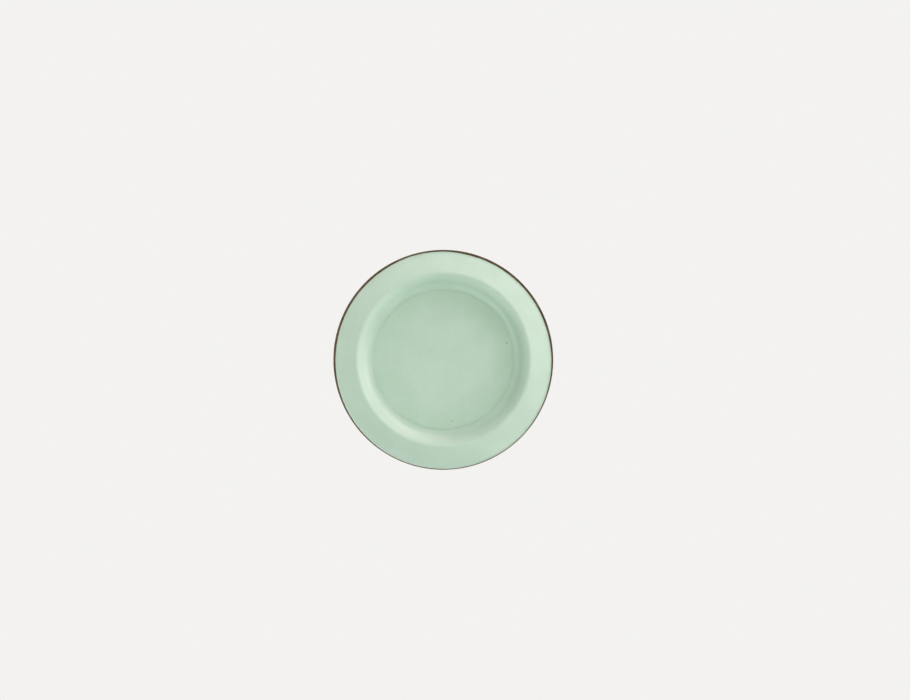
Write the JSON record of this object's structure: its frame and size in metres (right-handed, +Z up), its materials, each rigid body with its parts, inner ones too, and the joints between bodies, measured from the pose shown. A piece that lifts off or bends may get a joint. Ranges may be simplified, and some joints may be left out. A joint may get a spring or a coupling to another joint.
{
  "type": "magnetic soap holder",
  "caption": "Round wall holder with a magnet sealed in its boss, and a fluted metal cap that presses into a soap bar and clings to the boss.",
  "frame": {"origin": "centre of the recess floor on the wall side, the flat face that is bonded to the wall", "axes": "+Y along the common axis from the wall towards the soap, +Z up"},
  "size_m": [0.055, 0.0185, 0.055],
  "materials": {
    "mint_plastic": "satin moulded, mint green with fine flecks",
    "mint_cover": "satin moulded, mint green with fine flecks",
    "brown_seal": "matt brown rubber",
    "zinc_steel": "zinc plated steel",
    "white_nylon": "natural nylon",
    "nickel_plate": "nickel plated magnet",
    "tinplate": "bright tinplate"
  },
  "bodies": {
    "holder": {"holder_shell": "mint_plastic", "cover_disc": "mint_cover", "rim_seal": "brown_seal", "flux_cup": "zinc_steel", "spacer_ring": "white_nylon", "magnet": "nickel_plate"},
    "cap": {"soap_cap": "tinplate"}
  },
  "joints": [
    {"name": "cap_pull_off", "type": "slide", "parent": "holder", "child": "cap", "axis": [0, 1, 0], "range_m": [0, 0.018]}
  ]
}
